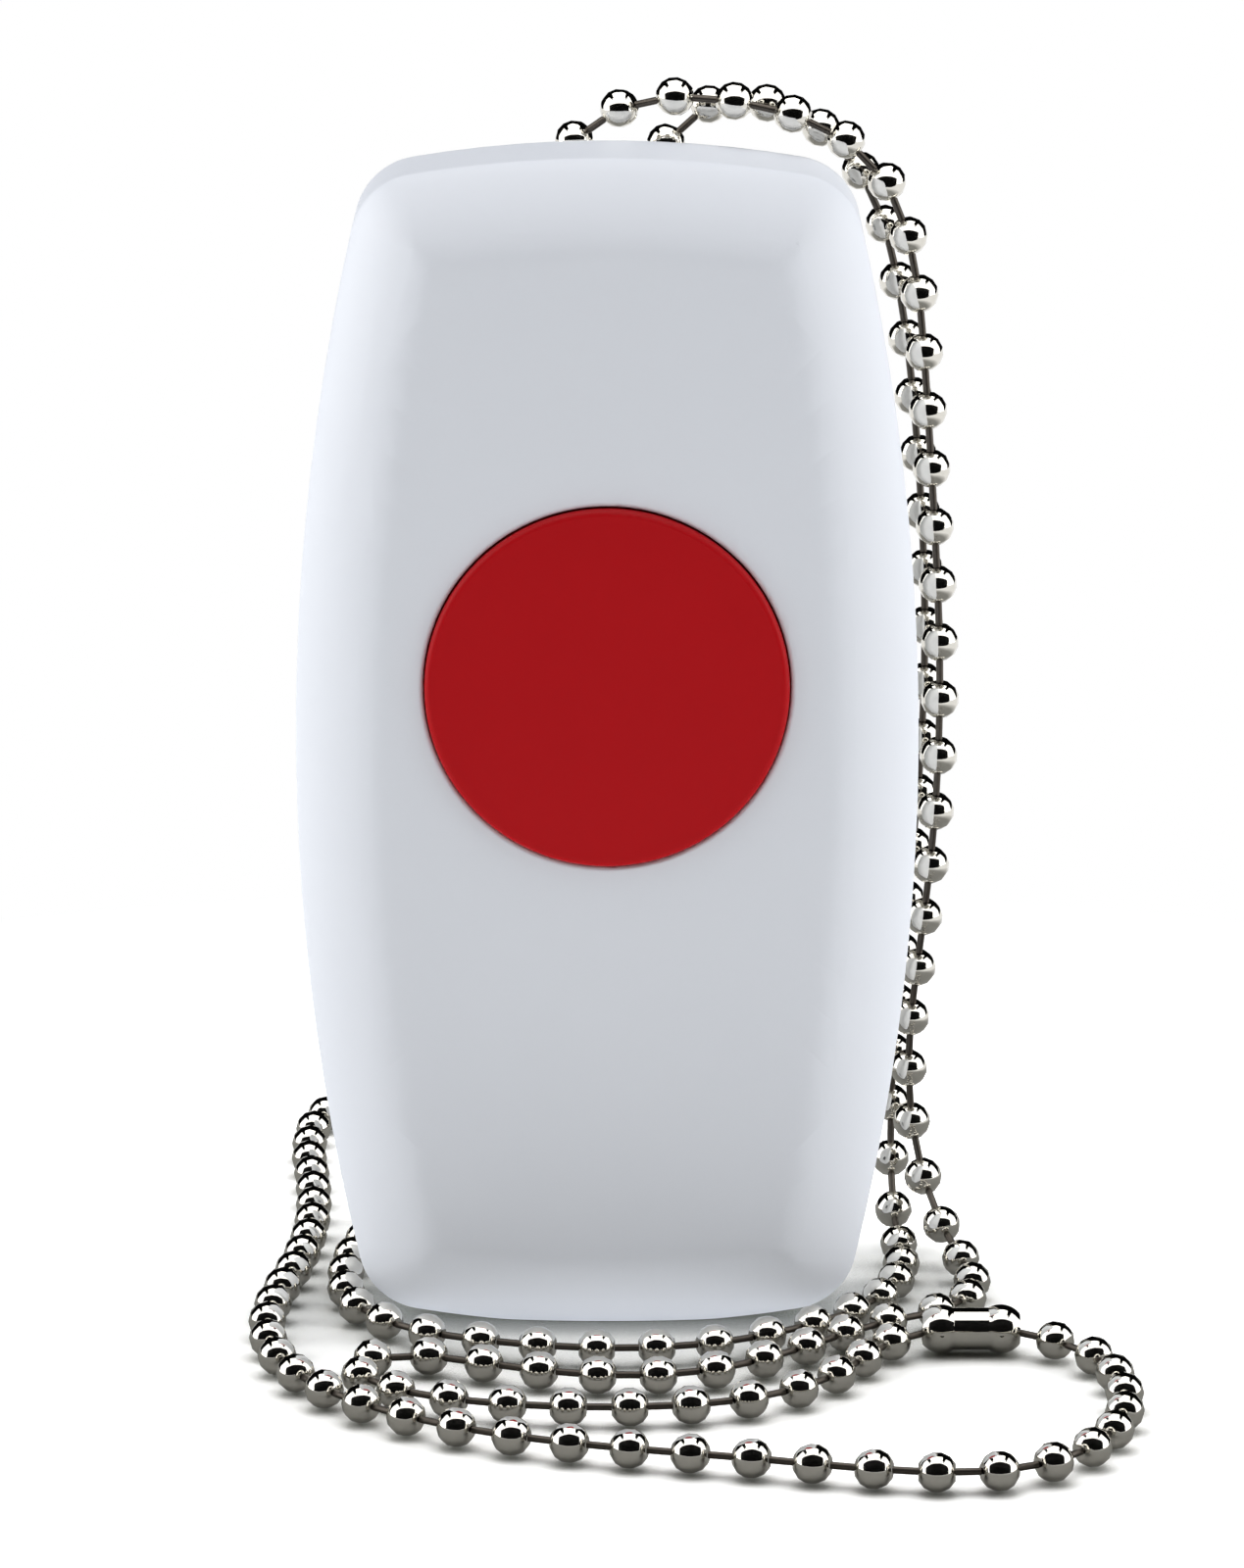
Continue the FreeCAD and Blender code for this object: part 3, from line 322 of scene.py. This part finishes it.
def tin_ended(name, body_colour, middle, half_body):
    """A fired ceramic body, with tin over both ends: those further than half_body from the row's middle height."""
    material, tree, where = new_material(name)
    axes = add_node(tree, "ShaderNodeSeparateXYZ", links={"Vector": where})
    off = add_node(tree, "ShaderNodeMath", {"operation": "SUBTRACT"}, {0: axes.outputs["Z"]})
    off.inputs[1].default_value = middle
    apart = add_node(tree, "ShaderNodeMath", {"operation": "ABSOLUTE"}, {0: off.outputs[0]})
    tin = add_node(tree, "ShaderNodeMath", {"operation": "GREATER_THAN"}, {0: apart.outputs[0]})
    tin.inputs[1].default_value = half_body
    tint = add_node(tree, "ShaderNodeMix", {"data_type": "RGBA"}, {"Factor": tin.outputs[0]})
    tint.inputs[6].default_value = to_linear(body_colour)
    tint.inputs[7].default_value = to_linear("#C9C8C4")
    shader = add_node(
        tree, "ShaderNodeBsdfPrincipled",
        links={"Base Color": tint.outputs[2], "Metallic": tin.outputs[0]}, Roughness=0.35,
    )
    finish_material(tree, shader)
    return material


# Fired ceramic: tan and dull on the capacitors, glazed black on the resistors, with soft tin on the ends of both.
dress(
    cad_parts["chip_capacitors"],
    tin_ended("tan_fired_ceramic", "#A98A66", CAPACITOR_ROW, CAPACITOR_BODY),
)
dress(
    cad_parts["chip_resistors"],
    tin_ended("black_glazed_ceramic", "#26272A", RESISTOR_ROW, RESISTOR_BODY),
)

# Screws. Four pan-head screws close the covers and two small ones hold the board: turned steel, zinc-plated, with a
# cross recess.

# Zinc plate: a cool grey metal, more matt than nickel.
zinc_plate = moulded_or_plated("zinc_plated_steel", "#BFC2C6", "#B2B5BA", 0.0005, 0.28, 0.42, metal=1.0)
for name in ("cover_screws", "board_screws"):
    dress(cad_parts[name], zinc_plate)

# Neck chain. A closed loop of nickel-plated steel ball chain, 2.4 mm balls 3.65 mm apart on short wire links. It
# lies in rows in front of the housing, rises on its right side, passes over the top to the bar on the back, comes
# down again and closes in a pressed sleeve.

# Nickel plate, barrel-polished on steel: a bright mirror, a little warm, with fine handling marks.
bead_nickel, tree, where = new_material("polished_nickel_plate")
marks = add_node(tree, "ShaderNodeTexNoise", links={"Vector": where}, Scale=2600, Detail=3)
rough = add_node(tree, "ShaderNodeMapRange", links={"Value": marks.outputs["Fac"]}, To_Min=0.03, To_Max=0.08)
tint = add_node(tree, "ShaderNodeMix", {"data_type": "RGBA"}, {"Factor": marks.outputs["Fac"]})
tint.inputs[6].default_value = to_linear("#E6E3DB")
tint.inputs[7].default_value = to_linear("#D9D6CE")
shader = add_node(
    tree, "ShaderNodeBsdfPrincipled",
    links={"Base Color": tint.outputs[2], "Roughness": rough.outputs["Result"]}, Metallic=1,
)
finish_material(tree, shader)
# Drawn wire between the balls, coloured a dark, brownish metal: painted shade for the narrow gaps between the balls.
link_wire_painted_dark = moulded_or_plated("link_wire_painted_shade", "#5C5650", "#4E4943", 0.0004, 0.3, 0.45, metal=1.0)

CHAIN_ROUTE = [
    # from the connector to the left in the third row from the body, and round a bend in the left heap
    (0.02047, -0.0096, 0.00152), (0.0171, -0.0109, 0.00125), (0.0152, -0.0156, 0.00122), (0.0124, -0.0202, 0.00122),
    (0.0076, -0.0234, 0.00122), (0.0016, -0.0244, 0.00122), (-0.0046, -0.0241, 0.00122), (-0.0100, -0.0226, 0.00122),
    (-0.0139, -0.0202, 0.00122), (-0.0155, -0.0166, 0.00122), (-0.0136, -0.0136, 0.00122),
    (-0.0102, -0.0142, 0.00122),
    # to the right in the second row and back along the body's right side
    (-0.0052, -0.0168, 0.00122), (0.0006, -0.0184, 0.00122), (0.0066, -0.0174, 0.00122), (0.0120, -0.0126, 0.00122),
    (0.0164, -0.0074, 0.00122), (0.0208, -0.0052, 0.00122), (0.0230, -0.0014, 0.00122), (0.0228, 0.0038, 0.00122),
    (0.0212, 0.0086, 0.0026),
    # up the right side and over the top corner to the recess in the back
    (0.0195, 0.0120, 0.0070), (0.0190, 0.0110, 0.0140), (0.0198, 0.0088, 0.0216), (0.0206, 0.0070, 0.0300),
    (0.0208, 0.0065, 0.0394), (0.0203, 0.0066, 0.0488), (0.0197, 0.0065, 0.0574), (0.0191, 0.0067, 0.0650),
    (0.0172, 0.0064, 0.0707), (0.0130, 0.0062, 0.0739), (0.0076, 0.0061, 0.0752), (0.0024, 0.0066, 0.0754),
    (-0.0022, 0.0088, 0.0728), (-0.0048, 0.0080, 0.0674), (-0.0050, 0.0049, 0.0624),
    # behind the bar and up again beside itself
    (-0.0034, 0.00433, 0.0588), (0.0006, 0.00433, 0.0578), (0.0043, 0.00435, 0.0599), (0.0052, 0.0056, 0.0642),
    (0.0042, 0.0086, 0.0682), (0.0030, 0.0100, 0.0714), (0.0054, 0.0102, 0.0744), (0.0098, 0.0097, 0.0748),
    (0.0144, 0.0095, 0.0724), (0.0172, 0.0096, 0.0676), (0.0186, 0.0096, 0.0604), (0.0195, 0.0097, 0.0514),
    (0.0200, 0.0098, 0.0414), (0.0197, 0.0105, 0.0312), (0.0188, 0.0120, 0.0218), (0.0183, 0.0140, 0.0136),
    (0.0182, 0.0154, 0.0072), (0.0182, 0.0136, 0.0033), (0.0186, 0.0094, 0.00122), (0.0186, 0.0030, 0.00122),
    # to the left in the row against the body, and back past its left side
    (0.0167, -0.0033, 0.00122), (0.0123, -0.0083, 0.00122), (0.0066, -0.0120, 0.00122), (-0.0004, -0.0129, 0.00122),
    (-0.0070, -0.0114, 0.00122), (-0.0126, -0.0088, 0.00122), (-0.0161, -0.0036, 0.00122), (-0.0167, 0.0036, 0.00122),
    (-0.0157, 0.0114, 0.00122), (-0.0130, 0.0190, 0.00122), (-0.0094, 0.0262, 0.00122), (-0.0064, 0.0336, 0.00122),
    (-0.0056, 0.0412, 0.00122), (-0.0096, 0.0468, 0.00122), (-0.0158, 0.0466, 0.00122),
    # forward again outside itself
    (-0.0197, 0.0408, 0.00122), (-0.0202, 0.0322, 0.00122), (-0.0193, 0.0229, 0.00122), (-0.0190, 0.0137, 0.00122),
    (-0.0196, 0.0051, 0.00122), (-0.0208, -0.0023, 0.00122), (-0.0211, -0.0094, 0.00122), (-0.0196, -0.0164, 0.00122),
    (-0.0160, -0.0224, 0.00122),
    # the front row and the wide loop on the right, which ends in the connector
    (-0.0106, -0.0272, 0.00122), (-0.0048, -0.0302, 0.00122), (0.0014, -0.0322, 0.00122), (0.0084, -0.0338, 0.00122),
    (0.0154, -0.0360, 0.00122), (0.0224, -0.0369, 0.00122), (0.0278, -0.0334, 0.00122), (0.0306, -0.0270, 0.00122),
    (0.0311, -0.0202, 0.00122), (0.0300, -0.0146, 0.00122), (0.0276, -0.0109, 0.00125), (0.02413, -0.0096, 0.00152),
]
BEAD_RADIUS = 0.0012
BEAD_PITCH = 0.00365
LINK_RADIUS = 0.00023
LINK_SET_IN = 0.9

route = bpy.data.curves.new("chain_route", "CURVE")
route.dimensions = "3D"
route.resolution_u = 24
spline = route.splines.new("NURBS")
spline.points.add(len(CHAIN_ROUTE) - 1)
for point, place in zip(spline.points, CHAIN_ROUTE):
    point.co = (*place, 1)
spline.order_u = 3
spline.use_endpoint_u = True
route_object = bpy.data.objects.new("chain_route", route)
route_mesh = bpy.data.meshes.new_from_object(route_object)
chain_line = [vertex.co.copy() for vertex in route_mesh.vertices]
bpy.data.meshes.remove(route_mesh)
bpy.data.objects.remove(route_object)
bpy.data.curves.remove(route)

reached = [0.0]
for before, here in zip(chain_line, chain_line[1:]):
    reached.append(reached[-1] + (here - before).length)


def place_on_chain(distance):
    """The chain's line at a distance from its first end."""
    for step in range(1, len(reached)):
        if reached[step] >= distance or step == len(reached) - 1:
            share = (distance - reached[step - 1]) / (reached[step] - reached[step - 1])
            return chain_line[step - 1].lerp(chain_line[step], min(share, 1))


gaps = round(reached[-1] / BEAD_PITCH)
bead_places = [place_on_chain(reached[-1] * step / gaps) for step in range(gaps + 1)]

bpy.ops.mesh.primitive_uv_sphere_add(segments=12, ring_count=7, radius=BEAD_RADIUS)
bead = bpy.context.object
bead.name = "chain_ball"
bead.data.materials.append(bead_nickel)
bpy.ops.object.mode_set(mode="EDIT")
bpy.ops.mesh.select_all(action="DESELECT")
bead_edit = bmesh.from_edit_mesh(bead.data)
for vertex in bead_edit.verts:
    vertex.select = abs(vertex.co.z) > 0.999 * BEAD_RADIUS
bead_edit.select_flush_mode()
bpy.ops.transform.resize(value=(1, 1, 0.8))
bpy.ops.object.mode_set(mode="OBJECT")
bpy.ops.object.shade_smooth()

bpy.ops.mesh.primitive_cylinder_add(vertices=8, radius=LINK_RADIUS, depth=1, end_fill_type="NOTHING")
link = bpy.context.object
link.name = "chain_link"
link.data.materials.append(link_wire_painted_dark)
bpy.ops.object.shade_smooth()


def set_along(piece, place, axis, stretch=1):
    """Bakes a copy's place: its own Z axis is laid along the chain and stretched, and its object stays put."""
    turn = axis.to_track_quat("Z", "Y").to_matrix().to_4x4()
    piece.data.transform(Matrix.Translation(place) @ turn @ Matrix.Diagonal((1, 1, stretch, 1)))


chain_parts = []
for step, place in enumerate(bead_places):
    ahead, behind = bead_places[min(step + 1, gaps)], bead_places[max(step - 1, 0)]
    one = bpy.data.objects.new(f"bead_{step}", bead.data.copy())
    set_along(one, place, ahead - behind)
    scene.collection.objects.link(one)
    chain_parts.append(one)
    if step < gaps:
        one = bpy.data.objects.new(f"link_{step}", link.data.copy())
        span = ahead - place
        set_along(one, place + span / 2, span, span.length - 2 * LINK_SET_IN * BEAD_RADIUS)
        scene.collection.objects.link(one)
        chain_parts.append(one)
bpy.data.objects.remove(bead)
bpy.data.objects.remove(link)
bpy.ops.object.select_all(action="DESELECT")
for one in chain_parts:
    one.select_set(True)
bpy.context.view_layer.objects.active = chain_parts[0]
bpy.ops.object.join()
neck_chain = bpy.context.object
neck_chain.name = "neck_chain"
neck_chain.data.name = "neck_chain"

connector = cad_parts["chain_connector"]
dress(connector, bead_nickel)
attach(neck_chain, "housing")
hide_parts("chain_beads", "chain_links")

# Floor. A white sweep. Near the object the camera sees it lit, with the object's contact shadow and painted contact
# shade, and further off as plain white. Near the object mirrors see it in a painted darker grey, and its painted glow
# brightens the underside of the housing.

LIT_WITHIN, WHITE_BEYOND = 0.06, 0.11
PAINTED_SHADE_REACH = 0.016
PAINTED_TABLE_GLOW = 0.58

bpy.ops.mesh.primitive_plane_add(size=6, location=(0, 0, -0.0001))
floor = bpy.context.object
floor.name = "floor"

# Matt white sheet. Painted shade: near the chain and the housing, occlusion darkens what the camera sees to a greenish
# grey.
floor_white, tree, where = new_material("white_sweep")
path = add_node(tree, "ShaderNodeLightPath")
away = add_node(tree, "ShaderNodeVectorMath", {"operation": "LENGTH"}, {"Vector": where})
# Near the object, mirrors see the floor in a darker grey than the camera does: a painted reflection on the lower
# halves of the balls.
bounce_and_mirror_grey = add_node(tree, "ShaderNodeMix", {"data_type": "RGBA"}, {"Factor": path.outputs["Is Glossy Ray"]})
bounce_and_mirror_grey.inputs[6].default_value = to_linear("#EDEDEB")
bounce_and_mirror_grey.inputs[7].default_value = to_linear("#8E8E8B")
shade = add_node(tree, "ShaderNodeMix", {"data_type": "RGBA"}, {"Factor": path.outputs["Is Camera Ray"]})
tree.links.new(bounce_and_mirror_grey.outputs[2], shade.inputs[6])
# Painted contact shade: the occlusion mixes a greenish grey into the floor colour the camera sees.
contact = add_node(tree, "ShaderNodeAmbientOcclusion", {"samples": 2}, Distance=PAINTED_SHADE_REACH)
depth = add_node(tree, "ShaderNodeMapRange", links={"Value": contact.outputs["AO"]}, From_Min=0.15, From_Max=0.95)
camera_floor_painted_shade = add_node(tree, "ShaderNodeMix", {"data_type": "RGBA"}, {"Factor": depth.outputs["Result"]})
camera_floor_painted_shade.inputs[6].default_value = to_linear("#7E8076")
camera_floor_painted_shade.inputs[7].default_value = (1.6, 1.6, 1.59, 1)
tree.links.new(camera_floor_painted_shade.outputs[2], shade.inputs[7])
near = add_node(tree, "ShaderNodeBsdfDiffuse", links={"Color": shade.outputs[2]})
fade = add_node(
    tree, "ShaderNodeMapRange", links={"Value": away.outputs["Value"]}, From_Min=LIT_WITHIN, From_Max=WHITE_BEYOND,
)
mirror = add_node(tree, "ShaderNodeMath", {"operation": "MAXIMUM"}, {0: path.outputs["Is Glossy Ray"]})
tree.links.new(path.outputs["Is Transmission Ray"], mirror.inputs[1])
seen = add_node(tree, "ShaderNodeMath", {"operation": "MAXIMUM"}, {0: path.outputs["Is Camera Ray"]})
tree.links.new(mirror.outputs[0], seen.inputs[1])
share = add_node(tree, "ShaderNodeMath", {"operation": "MULTIPLY"}, {0: fade.outputs["Result"], 1: seen.outputs[0]})
plain = add_node(tree, "ShaderNodeEmission", Color=(1, 1, 1, 1), Strength=1.0)
# Painted glow: for diffuse rays the floor emits light of its own, which brightens the underside of the housing.
painted_glow_strength = add_node(tree, "ShaderNodeMath", {"operation": "MULTIPLY"}, {0: path.outputs["Is Diffuse Ray"]})
painted_glow_strength.inputs[1].default_value = PAINTED_TABLE_GLOW
painted_glow = add_node(tree, "ShaderNodeEmission", links={"Strength": painted_glow_strength.outputs[0]}, Color=(1, 1, 1, 1))
lit = add_node(tree, "ShaderNodeAddShader", links={0: near.outputs[0], 1: painted_glow.outputs[0]})
mixed = add_node(tree, "ShaderNodeMixShader", links={0: share.outputs[0], 1: lit.outputs[0], 2: plain.outputs[0]})
add_node(tree, "ShaderNodeOutputMaterial", links={"Surface": mixed.outputs[0]})
floor.data.materials.append(floor_white)

# Light. A white surround and three soft boxes: one above and one at each side.

world = bpy.data.worlds.new("studio")
scene.world = world
world.use_nodes = True
tree = world.node_tree
tree.nodes.clear()
path = add_node(tree, "ShaderNodeLightPath")
mirror = add_node(tree, "ShaderNodeMath", {"operation": "MAXIMUM"}, {0: path.outputs["Is Glossy Ray"]})
tree.links.new(path.outputs["Is Transmission Ray"], mirror.inputs[1])
seen = add_node(tree, "ShaderNodeMath", {"operation": "MAXIMUM"}, {0: path.outputs["Is Camera Ray"]})
tree.links.new(mirror.outputs[0], seen.inputs[1])
lit = add_node(tree, "ShaderNodeBackground", Color=(1, 1, 1, 1), Strength=0.03)
plain = add_node(tree, "ShaderNodeBackground", Color=(1, 1, 1, 1), Strength=1.0)
mixed = add_node(tree, "ShaderNodeMixShader", links={0: seen.outputs[0], 1: lit.outputs[0], 2: plain.outputs[0]})
add_node(tree, "ShaderNodeOutputWorld", links={"Surface": mixed.outputs[0]})

for name, place, aim, width, height, power in (
    ("softbox_top", (0, 0.04, 0.54), (0, 0, 0.03), 0.5, 0.5, 2.1),
    ("softbox_left", (-0.5, -0.02, 0.22), (0, 0, 0.04), 0.5, 0.45, 2.1),
    ("softbox_right", (0.5, -0.02, 0.22), (0, 0, 0.04), 0.5, 0.45, 2.15),
):
    lamp_data = bpy.data.lights.new(name, "AREA")
    lamp_data.shape = "RECTANGLE"
    lamp_data.size = width
    lamp_data.size_y = height
    lamp_data.energy = power
    lamp = bpy.data.objects.new(name, lamp_data)
    lamp.location = place
    lamp.rotation_euler = (Vector(aim) - Vector(place)).to_track_quat("-Z", "Y").to_euler()
    scene.collection.objects.link(lamp)

# Cards. Painted reflections: a dark tent with glowing white sheets and one black sheet in it, which only mirrors show,
# so that each ball of the chain has a white spot at each side and above, round a black square in its middle.

# Painted reflections: a white sheet glowing brighter than the surround, and a black one throwing almost nothing back.
painted_reflection_white, tree, where = new_material("painted_reflection_glow")
white_glow_shader = add_node(tree, "ShaderNodeEmission", Color=(1, 1, 1, 1), Strength=1.9)
add_node(tree, "ShaderNodeOutputMaterial", links={"Surface": white_glow_shader.outputs[0]})
painted_reflection_black, tree, where = new_material("painted_reflection_dark")
black_sheet_shader = add_node(tree, "ShaderNodeBsdfDiffuse", Color=(0.004, 0.004, 0.004, 1))
add_node(tree, "ShaderNodeOutputMaterial", links={"Surface": black_sheet_shader.outputs[0]})
# The tent: a black surround seen only in mirrors, a painted dark reflection.
bpy.ops.mesh.primitive_cylinder_add(radius=0.9, depth=1.4, location=(0, 0, 0.69))
tent = bpy.context.object
tent.name = "tent"
tent.data.materials.append(painted_reflection_black)
sheets = [tent]
for name, place, width, height, finish in (
    ("card_top", (0, -0.19, 0.34), 0.5, 0.38, painted_reflection_white),
    ("card_left", (-0.4, -0.085, 0.24), 0.6, 0.44, painted_reflection_white),
    ("card_right", (0.4, -0.085, 0.24), 0.6, 0.44, painted_reflection_white),
    ("card_front", (0, -0.11, 0.072), 0.44, 0.16, painted_reflection_black),
):
    bpy.ops.mesh.primitive_plane_add(size=1)
    card = bpy.context.object
    card.name = name
    card.scale = (width, height, 1)
    card.location = place
    card.rotation_euler = (Vector((0, 0, 0.03)) - Vector(place)).to_track_quat("-Z", "Y").to_euler()
    card.data.materials.append(finish)
    sheets.append(card)
for sheet in sheets:
    sheet.visible_camera = False
    sheet.visible_diffuse = False
    sheet.visible_shadow = False
    sheet.visible_transmission = False
